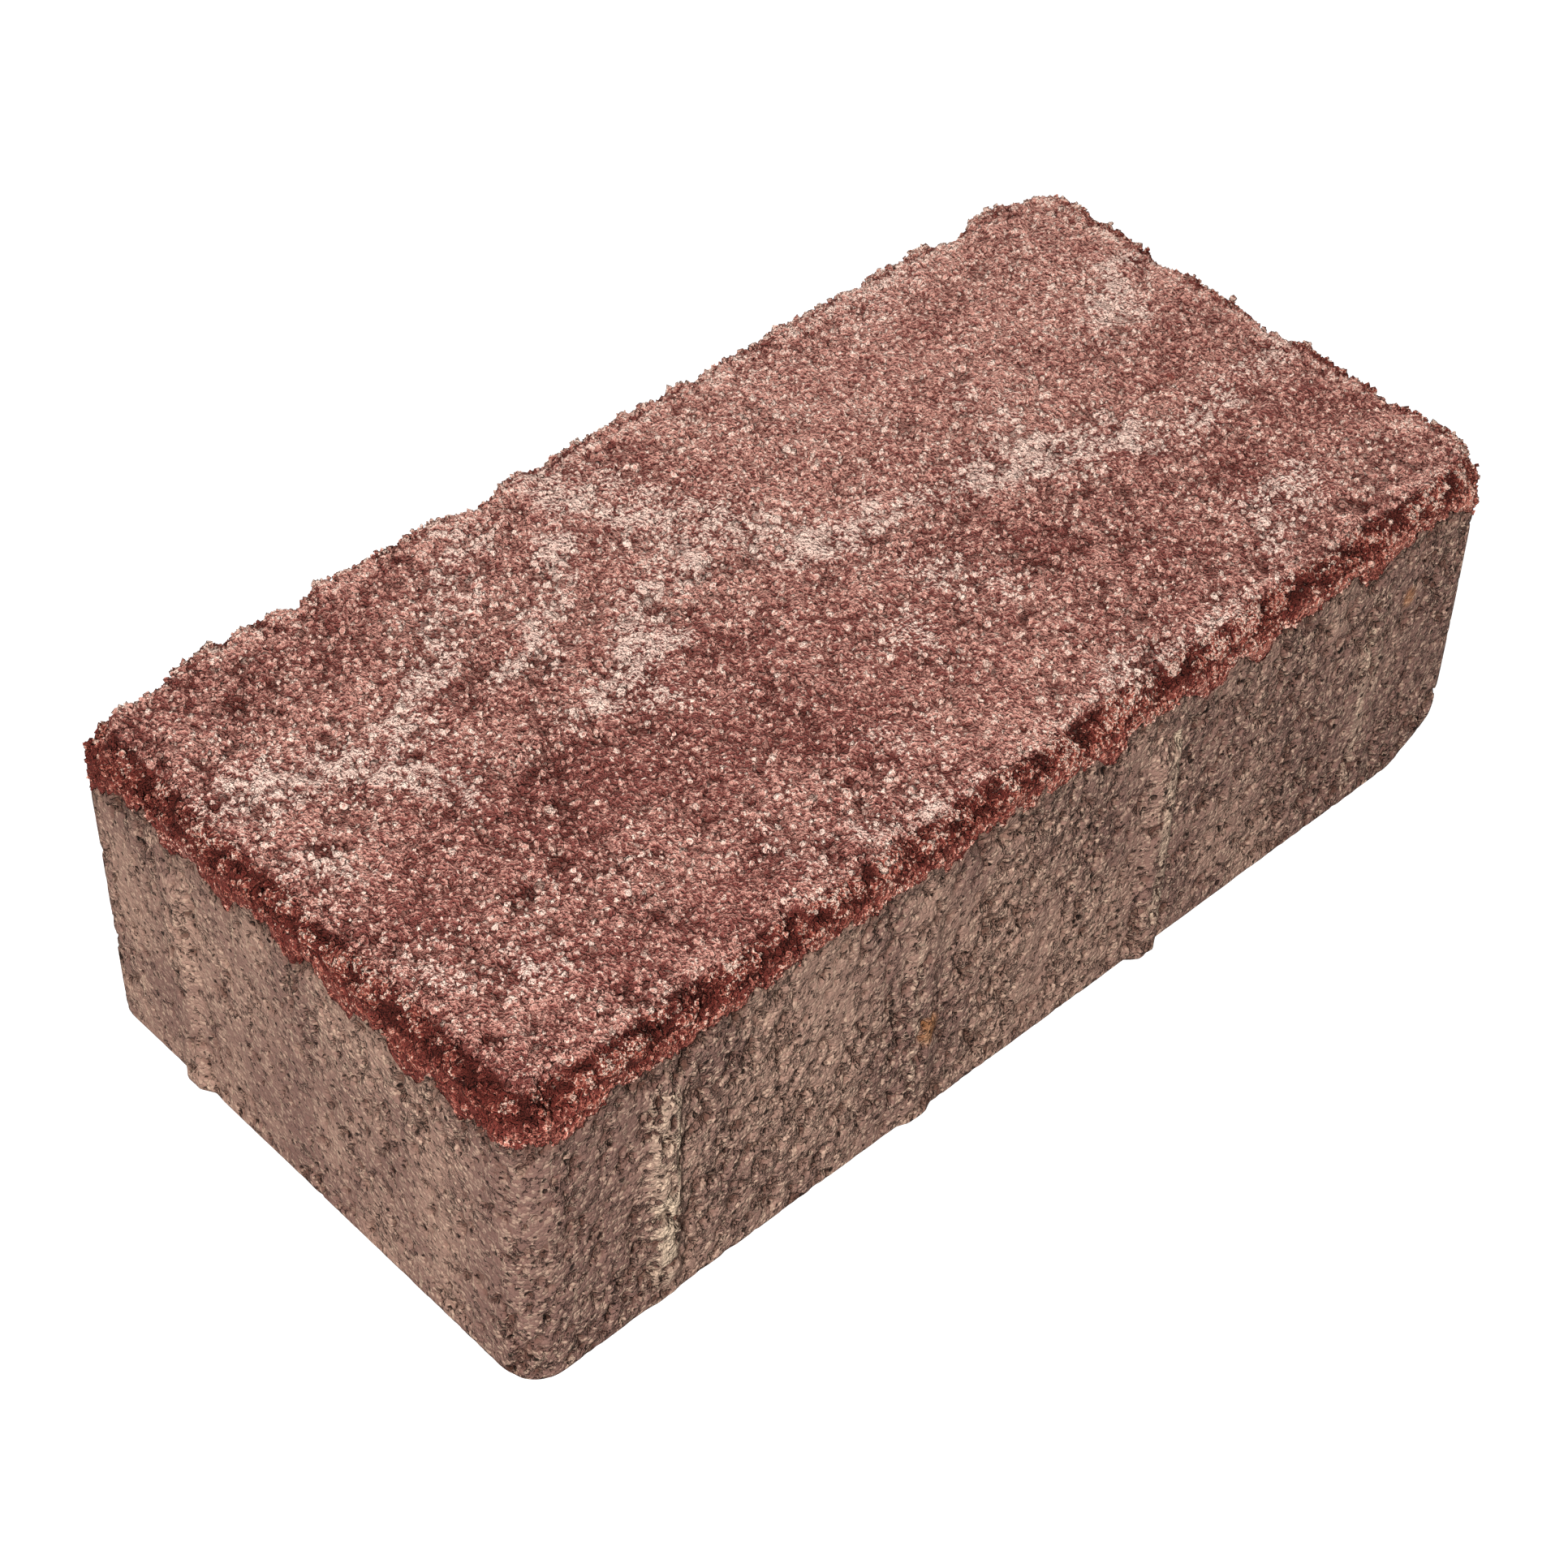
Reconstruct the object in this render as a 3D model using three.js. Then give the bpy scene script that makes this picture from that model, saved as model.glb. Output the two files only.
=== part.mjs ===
// Concrete block paver, 200 x 100 x 60 mm between its walls.
//
// One monolithic stone, pressed upright in a steel mould in two fills: a grey backing mix, and a
// thin red facing mix on top of it. The mould gives the straight walls, the rounded upright
// corners and the spacer nibs. The top arris is tumbled off after curing, so it is uneven, and the
// line where the two mixes meet wanders up and down the walls.
//
// Frame: X along the length, Y across the width, Z up, origin in the middle of the bed face.
// All sizes are in millimetres.

import * as THREE from 'three';

// ---- The block ------------------------------------------------------------------------------

const length = 200; // between the end walls, nibs not counted
const width = 100; // between the side walls, nibs not counted
const height = 60; // from the bed to the wearing face
const cornerRadius = 6.2; // of the upright corners
const bedArris = 0.4; // small break where the walls meet the bed

// ---- The tumbled top arris ------------------------------------------------------------------

const arrisIn = 4; // how far the rounding reaches in over the wearing face
const arrisDown = 5; // how far it reaches down the walls
const arrisRipple = 0.5; // unevenness of both
const arrisSteps = 4; // facets from the wall up to the wearing face
const knockReach = 0.35; // how much further in and down a knocked-off place reaches, per mm of depth

// ---- The wearing face -----------------------------------------------------------------------

const hollowDepth = 0.6; // of the shallow hollows that the press leaves in the open grain
const hollowPitch = 11; // from one hollow to the next
const faceRim = 2; // plain strip between the arris and the outermost hollows

// ---- The facing mix -------------------------------------------------------------------------

const facingWall = 1.4; // least height of upright red wall below the arris
const facingRipple = 0.3; // unevenness of its lower edge between the lobes

// ---- The spacer nibs ------------------------------------------------------------------------

const nibWidth = 7; // at the wall
const nibCrest = 3; // flat part that touches the next stone
const nibProud = 1.5; // half of the joint between two stones
const nibPitch = 50; // along the side walls, centred
const endNibOffset = 27; // single nib on an end wall, from its middle
const nibBelowFacing = 1; // from the deepest lobe of the facing mix down to the nib's top
const nibLeadIn = 4; // upright length over which the nib fades out at its top

// How much of each nib has survived, from 0 to 1, in order along a wall.
const sideNibs = [1, 0.55, 1, 0.4];
const endNib = 0.8;

// ---- Wear and lobes -------------------------------------------------------------------------
// Each entry is [wall, place along the wall from its middle, half width, depth]. The walls run
// anticlockwise seen from above: 0 front (-Y), 1 right (+X), 2 back (+Y), 3 left (-X).

const knocks = [
  [0, -92, 8, 2.2],
  [0, -65, 8, 1.2],
  [0, -48, 4, 1.0],
  [0, -15, 5, 1.2],
  [0, 11, 8, 2.2],
  [0, 24, 5, 1.4],
  [0, 48, 5, 0.9],
  [0, 69, 8, 1.8],
  [0, 95, 6, 1.3],
  [1, -28, 6, 0.7],
  [1, -4, 9, 0.9],
  [1, 19, 6, 0.8],
  [1, 48, 6, 1.6],
  [2, -93, 5, 1.4],
  [2, -77, 6, 1.7],
  [2, -55, 4, 0.7],
  [2, 26, 8, 1.2],
  [2, 88, 9, 1.9],
  [3, -34, 8, 1.4],
  [3, -5, 6, 0.8],
  [3, 27, 8, 1.3],
  [3, 46, 7, 1.8],
];

const lobes = [
  [0, -92, 12, 2.4],
  [0, -74, 9, 1.6],
  [0, -18, 8, 1.6],
  [0, 13, 5, 3.2],
  [0, 34, 8, 2.2],
  [0, 45, 5, 4.2],
  [0, 56, 8, 1.8],
  [0, 72, 6, 3.6],
  [0, 95, 8, 2.6],
  [1, -30, 7, 2.8],
  [1, -9, 5, 3.4],
  [1, 12, 7, 2.2],
  [1, 36, 6, 3.8],
  [2, -84, 9, 2.6],
  [2, -52, 7, 3.6],
  [2, -30, 8, 1.8],
  [2, 4, 6, 3.0],
  [2, 27, 9, 2.2],
  [2, 61, 6, 4.0],
  [2, 86, 8, 2.4],
  [3, -45, 8, 5.0],
  [3, -27, 7, 2.0],
  [3, -15, 7, 4.0],
  [3, 0, 5, 2.4],
  [3, 13, 5, 3.8],
  [3, 27, 6, 4.2],
  [3, 38, 7, 3.4],
];

// ---- Fineness of the facets -----------------------------------------------------------------

const wallStep = 2.6; // longest facet along a wall
const cornerSteps = 6; // facets round each upright corner
const faceStep = 4; // longest facet on the wearing face, along X or Y

// ---- Plan outline ---------------------------------------------------------------------------
// One lap round the walls, as stations: a point on the wall, its outward normal, the distance
// gone along the lap, and how much of a nib stands there.

const sideNibPlaces = sideNibs.map((_, i) => nibPitch * (i - (sideNibs.length - 1) / 2));
const walls = [
  { turn: 0, half: length / 2, out: width / 2, nibs: sideNibPlaces, left: sideNibs },
  { turn: 1, half: width / 2, out: length / 2, nibs: [-endNibOffset], left: [endNib] },
  { turn: 2, half: length / 2, out: width / 2, nibs: sideNibPlaces, left: sideNibs },
  { turn: 3, half: width / 2, out: length / 2, nibs: [-endNibOffset], left: [endNib] },
];

// A wall's own frame: along it and out of it, as vectors in the plan.
function wallFrame({ turn }) {
  const origin = new THREE.Vector2();
  const along = new THREE.Vector2(1, 0).rotateAround(origin, (turn * Math.PI) / 2);
  const outward = new THREE.Vector2(0, -1).rotateAround(origin, (turn * Math.PI) / 2);
  return { along, outward };
}

// Places along a wall where a facet ends: both ends of the straight part, the foot and crest of
// each nib, and even steps between those.
function wallPlaces({ half, nibs }) {
  const straight = half - cornerRadius;
  const fixed = [-straight, straight];
  for (const nib of nibs) {
    for (const breadth of [nibWidth, nibCrest]) {
      fixed.push(nib - breadth / 2, nib + breadth / 2);
    }
  }
  fixed.sort((a, b) => a - b);
  const places = [fixed[0]];
  for (let i = 1; i < fixed.length; i++) {
    const count = Math.max(1, Math.ceil((fixed[i] - fixed[i - 1]) / wallStep));
    for (let k = 1; k <= count; k++) {
      places.push(fixed[i - 1] + ((fixed[i] - fixed[i - 1]) * k) / count);
    }
  }
  return places;
}

// How far a nib stands out at a place along its wall, from 0 to 1: a trapezium in plan.
function nibAt(place, { nibs, left }) {
  const flank = (nibWidth - nibCrest) / 2;
  const heights = nibs.map((nib, i) => {
    const inside = (nibWidth / 2 - Math.abs(place - nib)) / flank;
    return left[i] * THREE.MathUtils.clamp(inside, 0, 1);
  });
  return Math.max(0, ...heights);
}

function layOut() {
  const stations = [];
  const middles = [];
  let lapped = 0;
  for (const wall of walls) {
    const { along, outward } = wallFrame(wall);
    const straight = wall.half - cornerRadius;
    middles.push(lapped + straight);
    for (const place of wallPlaces(wall)) {
      const point = along.clone().multiplyScalar(place).addScaledVector(outward, wall.out);
      stations.push({
        point,
        normal: outward,
        lapped: lapped + straight + place,
        nib: nibAt(place, wall),
      });
    }
    lapped += 2 * straight;
    const centre = along.clone().multiplyScalar(straight);
    centre.addScaledVector(outward, wall.out - cornerRadius);
    for (let k = 1; k < cornerSteps; k++) {
      const angle = ((Math.PI / 2) * k) / cornerSteps;
      const normal = outward.clone().rotateAround(new THREE.Vector2(), angle);
      const point = centre.clone().addScaledVector(normal, cornerRadius);
      stations.push({ point, normal, lapped: lapped + cornerRadius * angle, nib: 0 });
    }
    lapped += (cornerRadius * Math.PI) / 2;
  }
  return { stations, middles, perimeter: lapped };
}

const { stations, middles, perimeter } = layOut();

// ---- Wear along the lap ---------------------------------------------------------------------

// Sum of the rounded bumps of a list at a distance along the lap. A bump is a raised cosine.
function bumpsAt(list, lapped) {
  let sum = 0;
  for (const [wall, place, reach, depth] of list) {
    const gap = Math.abs(lapped - middles[wall] - place);
    const share = Math.min(gap, perimeter - gap) / reach;
    sum += share < 1 ? (depth * (1 + Math.cos(Math.PI * share))) / 2 : 0;
  }
  return sum;
}

// Uneven wave from -1 to 1 that closes on itself after one lap.
function ripple(lapped, phase) {
  const waves = [17, 29, 43];
  const turn = (2 * Math.PI * lapped) / perimeter;
  return waves.reduce((sum, n, i) => sum + Math.sin(n * turn + phase * (i + 1)), 0) / waves.length;
}

const worn = stations.map(({ lapped }) => {
  const knock = bumpsAt(knocks, lapped);
  const reachIn = arrisIn + arrisRipple * ripple(lapped, 0.4) + knockReach * knock;
  const reachDown = arrisDown + arrisRipple * ripple(lapped, 2.1) + knockReach * knock;
  const facingEdge = facingWall + facingRipple * (1 + ripple(lapped, 3.7)) + bumpsAt(lobes, lapped);
  return { knock, reachIn, reachDown, facing: reachDown + facingEdge };
});

// ---- Rings from the bed to the wearing face -------------------------------------------------
// Each ring has one point per station. out is how far the ring stands out of the wall.

function ring(place) {
  return stations.map((station, i) => {
    const { out, z } = place(station, worn[i]);
    const plan = station.point.clone().addScaledVector(station.normal, out);
    return new THREE.Vector3(plan.x, plan.y, z);
  });
}

// The arris between the wall (share 0) and the wearing face (share 1): a quarter of an ellipse,
// flattened and then hollowed where a knock has taken its belly off.
function arrisRing(share) {
  const angle = (share * Math.PI) / 2;
  return ring((station, { knock, reachIn, reachDown }) => {
    const belly = new THREE.Vector2(1 - Math.cos(angle) - share, Math.sin(angle) - share);
    const fullDepth = reachIn * reachDown * (Math.SQRT2 - 1) / Math.hypot(reachIn, reachDown);
    const kept = 1 - knock / fullDepth;
    return {
      out: -reachIn * (share + kept * belly.x),
      z: height - reachDown * (1 - share - kept * belly.y),
    };
  });
}

const deepestFacing = Math.max(...worn.map(({ facing }) => facing));
const nibTop = height - deepestFacing - nibBelowFacing;
const backingRings = [
  ring(({ nib }) => ({ out: nib * nibProud - bedArris, z: 0 })),
  ring(({ nib }) => ({ out: nib * nibProud, z: bedArris })),
  ring(({ nib }) => ({ out: nib * nibProud, z: nibTop - nibLeadIn })),
  ring(() => ({ out: 0, z: nibTop })),
  ring((station, { facing }) => ({ out: 0, z: height - facing })),
];
const facingRings = [backingRings.at(-1)];
for (let step = 0; step <= arrisSteps; step++) {
  facingRings.push(arrisRing(step / arrisSteps));
}

// ---- Skin -----------------------------------------------------------------------------------

// Quads between neighbouring rings, each cut into two triangles, seen from outside.
function wallTriangles(rings) {
  const corners = [];
  for (let r = 1; r < rings.length; r++) {
    const [low, high] = [rings[r - 1], rings[r]];
    for (let i = 0; i < low.length; i++) {
      const j = (i + 1) % low.length;
      corners.push(low[i], low[j], high[j], low[i], high[j], high[i]);
    }
  }
  return corners;
}

// A strip between two loops with their own numbers of points, both anticlockwise from above. Each
// triangle steps along the loop whose next point makes the shorter edge across.
function stripTriangles(outer, inner) {
  const corners = [];
  let i = 0;
  let j = 0;
  while (i < outer.length || j < inner.length) {
    const [a, nextA] = [outer[i % outer.length], outer[(i + 1) % outer.length]];
    const [b, nextB] = [inner[j % inner.length], inner[(j + 1) % inner.length]];
    const outerIsCloser = nextA.distanceTo(b) < a.distanceTo(nextB);
    if (j === inner.length || (i < outer.length && outerIsCloser)) {
      corners.push(a, nextA, b);
      i += 1;
    } else {
      corners.push(a, nextB, b);
      j += 1;
    }
  }
  return corners;
}

// The flat bed inside the lowest ring, looking down.
function bedFace(edge) {
  const contour = edge.map(({ x, y }) => new THREE.Vector2(x, y));
  const faces = THREE.ShapeUtils.triangulateShape(contour, []);
  return faces.flatMap(([a, b, c]) => [edge[a], edge[c], edge[b]]);
}

// Depth of the hollows at a place on the wearing face. Two wave trains cross, each bent by a
// slower one, so that no two hollows are alike. The face is flat between them, and in its middle.
function hollowAt({ x, y }) {
  const turn = (Math.SQRT2 * Math.PI) / hollowPitch;
  const along = Math.cos(turn * x + 2 * Math.sin(0.31 * turn * y));
  const across = -Math.cos(turn * y + 2 * Math.sin(0.23 * turn * x));
  return hollowDepth * Math.max(0, along * across);
}

// The wearing face inside the arris: a sheet with the hollows, and a plain strip round it. The
// sheet's corners stay inside the rounded corners of the arris.
function wearingFace(edge) {
  const arrisReach = Math.max(...worn.map(({ reachIn }) => reachIn));
  const cornerCut = Math.max(0, cornerRadius - arrisReach) * (1 - Math.SQRT1_2);
  const margin = arrisReach + cornerCut + faceRim;
  const [sheetLength, sheetWidth] = [length - 2 * margin, width - 2 * margin];
  const columns = Math.ceil(sheetLength / faceStep);
  const rows = Math.ceil(sheetWidth / faceStep);
  const sheet = new THREE.PlaneGeometry(sheetLength, sheetWidth, columns, rows);
  const places = sheet.getAttribute('position');
  const points = Array.from({ length: places.count }, (_, i) => {
    const point = new THREE.Vector3().fromBufferAttribute(places, i);
    return point.setZ(height - hollowAt(point));
  });

  // The sheet's own edge, from its front left corner, the same way round as the stations.
  const at = (i, j) => points[j * (columns + 1) + i];
  const border = [];
  for (let i = 0; i < columns; i++) border.push(at(i, rows));
  for (let j = rows; j > 0; j--) border.push(at(columns, j));
  for (let i = columns; i > 0; i--) border.push(at(i, 0));
  for (let j = 0; j < rows; j++) border.push(at(0, j));
  return [...stripTriangles(edge, border), ...Array.from(sheet.index.array, (i) => points[i])];
}

const backingSkin = [...bedFace(backingRings[0]), ...wallTriangles(backingRings)];
const facingSkin = [...wallTriangles(facingRings), ...wearingFace(facingRings.at(-1))];

const skin = new THREE.BufferGeometry().setFromPoints([...backingSkin, ...facingSkin]);
skin.addGroup(0, backingSkin.length, 0);
skin.addGroup(backingSkin.length, facingSkin.length, 1);
skin.computeVertexNormals();

// ---- The stone ------------------------------------------------------------------------------

const backingMix = new THREE.MeshStandardMaterial({ color: 0x8c7a6b, roughness: 0.95 });
const facingMix = new THREE.MeshStandardMaterial({ color: 0x96605a, roughness: 0.92 });

const pavingStone = new THREE.Mesh(skin, [backingMix, facingMix]);
pavingStone.name = 'paving_stone';

const paver = new THREE.Group();
paver.add(pavingStone);

export default paver;
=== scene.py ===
import itertools
import math

import bpy
import mathutils
import numpy as np
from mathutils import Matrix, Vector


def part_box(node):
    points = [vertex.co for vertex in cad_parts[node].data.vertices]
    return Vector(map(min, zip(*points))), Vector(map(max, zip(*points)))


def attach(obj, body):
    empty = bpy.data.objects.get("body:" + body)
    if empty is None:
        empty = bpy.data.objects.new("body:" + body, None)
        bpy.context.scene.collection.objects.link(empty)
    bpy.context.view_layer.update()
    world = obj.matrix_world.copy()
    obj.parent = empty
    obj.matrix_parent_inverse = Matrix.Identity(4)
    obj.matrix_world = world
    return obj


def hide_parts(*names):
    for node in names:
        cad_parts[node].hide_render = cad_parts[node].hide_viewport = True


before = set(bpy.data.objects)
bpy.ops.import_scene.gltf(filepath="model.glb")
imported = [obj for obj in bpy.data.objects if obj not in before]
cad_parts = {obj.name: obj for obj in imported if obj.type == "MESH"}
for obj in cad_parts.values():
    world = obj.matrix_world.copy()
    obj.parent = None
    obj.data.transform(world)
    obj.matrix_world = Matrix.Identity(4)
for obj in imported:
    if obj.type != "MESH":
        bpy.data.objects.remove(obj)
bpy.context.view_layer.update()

# ---- Backing mix ----------------------------------------------------------------------------
# The body of the stone: dry grey-brown concrete rammed into a steel mould and pushed out upright.
# Its walls are open and pitted where the mix was too dry to fill, with pale skin smeared over
# them by the mould and fine upright drag marks.

# Lengths are in millimetres. A lap runs anticlockwise along the mould's walls: 0 is the front, 1
# the right, 2 the back and 3 the left, and a place on a wall is counted from its middle.
MM = 0.001
NIB_PROUD = 1.5
END_NIB_LEFT = 0.8
stone_reach = np.array(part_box("paving_stone")[1]) / MM
HALF_LENGTH = stone_reach[0] - NIB_PROUD * END_NIB_LEFT
HALF_WIDTH = stone_reach[1] - NIB_PROUD
HEIGHT = stone_reach[2]
CORNER_RADIUS = 6.2
CORNER_ARC = CORNER_RADIUS * math.pi / 2
STRAIGHTS = [2 * (HALF_LENGTH - CORNER_RADIUS), 2 * (HALF_WIDTH - CORNER_RADIUS)] * 2
PERIMETER = sum(STRAIGHTS) + 4 * CORNER_ARC
WALL_MIDDLES = [sum(STRAIGHTS[:k]) + k * CORNER_ARC + STRAIGHTS[k] / 2 for k in range(4)]
WALL_TURNS = [(1, 0), (0, 1), (-1, 0), (0, -1)]

# Spacer nibs that keep the joints open: place, share of the crest that is left, and share of the
# foot that is chipped off.
NIB_WIDTH = 7.0
NIB_CREST = 3.0
NIB_LEAD_IN = 4.0
NIB_TOP = 46.5
NIB_FOOT = 8.0
SIDE_NIBS = [(-75, 1.0, 0.85), (-25, 0.55, 0.0), (25, 1.0, 0.0), (75, 0.3, 0.9)]
END_NIBS = [(-27, END_NIB_LEFT, 0.0)]

# Where the backing ends: below the top arris, which tumbling knocks off unevenly, and below the
# facing mix, which hangs down the walls in lobes. Knocks and lobes are wall, place, half width
# and depth.
ARRIS_DOWN = 5.0
ARRIS_RIPPLE = 0.5
KNOCK_REACH = 0.35
FACING_WALL = 1.4
FACING_RIPPLE = 0.3
KNOCKS = [
    (0, -92, 8, 2.2), (0, -65, 8, 1.2), (0, -48, 4, 1.0), (0, -15, 5, 1.2), (0, 11, 8, 2.2),
    (0, 24, 5, 1.4), (0, 48, 5, 0.9), (0, 69, 8, 1.8), (0, 95, 6, 1.3), (1, -28, 6, 0.7),
    (1, -4, 9, 0.9), (1, 19, 6, 0.8), (1, 48, 6, 1.6), (2, -93, 5, 1.4), (2, -77, 6, 1.7),
    (2, -55, 4, 0.7), (2, 26, 8, 1.2), (2, 88, 9, 1.9), (3, -34, 8, 1.4), (3, -5, 6, 0.8),
    (3, 27, 8, 1.3), (3, 46, 7, 1.8), (0, -74, 3, 0.8), (0, -56, 3, 0.7), (0, -27, 3, 0.7),
    (0, 33, 4, 0.9), (2, 12, 4, 0.8), (2, -20, 5, 0.7), (2, 60, 4, 0.8),
    (2, 99, 9, 2.6), (0, 99, 7, 1.8), (1, 52, 7, 0.8),
]
LOBES = [
    (0, -92, 12, 2.4), (0, -74, 9, 1.6), (0, -18, 8, 1.6), (0, 13, 5, 3.2), (0, 34, 8, 2.2),
    (0, 45, 5, 4.2), (0, 56, 8, 1.8), (0, 72, 6, 3.6), (0, 95, 8, 2.6), (1, -30, 7, 2.8),
    (1, -9, 5, 3.4), (1, 12, 7, 2.2), (1, 36, 6, 3.8), (2, -84, 9, 2.6), (2, -52, 7, 3.6),
    (2, -30, 8, 1.8), (2, 4, 6, 3.0), (2, 27, 9, 2.2), (2, 61, 6, 4.0), (2, 86, 8, 2.4),
    (3, -45, 8, 5.0), (3, -27, 7, 2.0), (3, -15, 7, 4.0), (3, 0, 5, 2.4), (3, 13, 5, 3.8),
    (3, 27, 6, 4.2), (3, 38, 7, 3.4),
]

# Columns of the skin. Those of a side run from the middle of one corner to that of the next, and
# the grid of the wearing face meets them there.
LONG_COLUMNS = 368
SHORT_COLUMNS = 176
side_lengths = [straight + CORNER_ARC for straight in STRAIGHTS]
side_starts = np.cumsum([0] + side_lengths[:3])
lap = np.concatenate([
    start + np.linspace(0, length, count, endpoint=False)
    for start, length, count in zip(side_starts, side_lengths, [LONG_COLUMNS, SHORT_COLUMNS] * 2)
]) - CORNER_ARC / 2


def smooth(value, low, high):
    """Smooth step from 0 at low to 1 at high."""
    share = np.clip((value - low) / (high - low), 0, 1)
    return share * share * (3 - 2 * share)


def outline(lap):
    """Point on the mould wall and its outward normal: a core point walks along the inner
    rectangle on the straights, and the normal turns a quarter at each corner."""
    core = np.zeros((len(lap), 2)) + (CORNER_RADIUS - HALF_LENGTH, CORNER_RADIUS - HALF_WIDTH)
    turn = np.full(len(lap), -math.pi / 2)
    lap = lap % PERIMETER
    for middle, straight, along in zip(WALL_MIDDLES, STRAIGHTS, WALL_TURNS):
        start = middle - straight / 2
        core = core + np.clip(lap - start, 0, straight)[:, None] * np.array(along)
        turn = turn + np.clip((lap - start - straight) / CORNER_RADIUS, 0, math.pi / 2)
    normal = np.stack([np.cos(turn), np.sin(turn)], -1)
    return core + CORNER_RADIUS * normal, normal


def lap_gap(lap, wall, place):
    """Distance along the lap from a place on a wall, the short way round."""
    gap = np.abs(lap % PERIMETER - (WALL_MIDDLES[wall] + place) % PERIMETER)
    return np.minimum(gap, PERIMETER - gap)


def bumps(spots, lap):
    """Sum of raised cosines, one at each spot, of its half width and depth."""
    total = np.zeros(len(lap))
    for wall, place, reach, depth in spots:
        share = np.clip(lap_gap(lap, wall, place) / reach, 0, 1)
        total += depth * (1 + np.cos(math.pi * share)) / 2
    return total


def ripple(lap, phase):
    """Mean of three sines that close on themselves after one lap."""
    turns = [17, 29, 43]
    angle = 2 * math.pi * lap / PERIMETER
    return sum(np.sin(n * angle + phase * (i + 1)) for i, n in enumerate(turns)) / len(turns)


def nib_share(lap, z):
    """How far a nib stands out, from 0 at the wall to 1 at an unworn crest: flanks slope up to
    the crest, the top fades in, and the foot of some is chipped off."""
    share = np.zeros(z.shape)
    for wall in range(4):
        for place, left, chipped in (SIDE_NIBS if wall % 2 == 0 else END_NIBS):
            inside = (NIB_WIDTH / 2 - lap_gap(lap, wall, place)) / (NIB_WIDTH - NIB_CREST) * 2
            foot = 1 - chipped * (1 - smooth(z, 0, NIB_FOOT))
            share = np.maximum(share, left * np.clip(inside, 0, 1) * foot)
    return share * smooth(NIB_TOP - z, 0, NIB_LEAD_IN)


def scatter(cell, salt):
    """Even random number from 0 to 1 for each whole-numbered cell: its three numbers are
    multiplied by large odd ones, summed, and mixed by shifts, the same on every run. Each salt
    gives other numbers."""
    word = (cell.astype(np.int64) * (0x8DA6B343, 0xD8163841, 0xCB1AB31F)).sum(-1)
    word = (word + salt * 0x165667B1) & 0xFFFFFFFF
    word = ((word ^ (word >> 15)) * 0x2C1B3C6D) & 0xFFFFFFFF
    word = ((word ^ (word >> 12)) * 0x297A2D39) & 0xFFFFFFFF
    return (word ^ (word >> 15)) / 0xFFFFFFFF


def drift(at, size, salt):
    """Smooth random field from -1 to 1: random values on a lattice of the given spacing in
    millimetres, blended between its corners by a smooth step."""
    spot = at / size
    base = np.floor(spot)
    share = smooth(spot - base, 0, 1)
    total = np.zeros(len(at))
    for corner in itertools.product((0, 1), repeat=3):
        weight = np.prod(np.where(corner, share, 1 - share), -1)
        total += weight * scatter(base + corner, salt)
    return 2 * total - 1


def mottle(at, *layers):
    """Sum of drifts, each of them a weight, a size in millimetres and a salt."""
    return sum(weight * drift(at, size, salt) for weight, size, salt in layers)


def pushed(at, reach, size, salt):
    """The points pushed about by drift, each way by up to reach and by its own drift."""
    return at + reach * np.stack([drift(at, size, salt + k) for k in range(3)], -1)


def grains(at, size, salt):
    """Packed grains: space is cut into cubes of the grain size, each with one centre at random
    in it. Gives the distance to the nearest centre, in grain sizes, and a random number that
    belongs to that grain."""
    spot = at / size
    base = np.floor(spot)
    near = np.full(len(at), 9.0)
    tone = np.zeros(len(at))
    for step in itertools.product((-1, 0, 1), repeat=3):
        cell = base + step
        centre = cell + np.stack([scatter(cell, salt + k) for k in range(3)], -1)
        gap = np.linalg.norm(spot - centre, axis=-1)
        tone = np.where(gap < near, scatter(cell, salt + 3), tone)
        near = np.minimum(near, gap)
    return near, tone


plan, outward = outline(lap)
columns = len(lap)
around = np.arange(columns)
ahead = (around + 1) % columns
knock = bumps(KNOCKS, lap)
reach_down = ARRIS_DOWN + ARRIS_RIPPLE * ripple(lap, 2.1) + KNOCK_REACH * knock
facing_edge = FACING_WALL + FACING_RIPPLE * (1 + ripple(lap, 3.7)) + bumps(LOBES, lap)

# The line between the mixes runs from grain to grain.
JOINT_GRAIN = 2.2
JOINT_RAGGED = 1.9
lap_at = np.append(plan, np.zeros((columns, 1)), -1)
joint_grain = grains(lap_at, JOINT_GRAIN, 15)[1]
joint_ragged = JOINT_RAGGED * (joint_grain - 0.5) + 0.9 * drift(lap_at, 1.1, 16)
joint_height = HEIGHT - reach_down - facing_edge + joint_ragged

BED_ARRIS = 0.4
FOOT_KNOCK = 2.8
FOOT_KNOCK_HALF_WIDTH = 15.0
FOOT_KNOCK_TALL = 8.0
BED_RING = (0.97, 0.94, 0)
PLATE_DEPTH = 1.15
HOLE_SIZE = 3.8
HOLE_DEPTH = 0.7
DRAGGED_UP = (1, 1, 0.45)
LENGTHENED_UP = (1, 1, 0.65)


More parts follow.
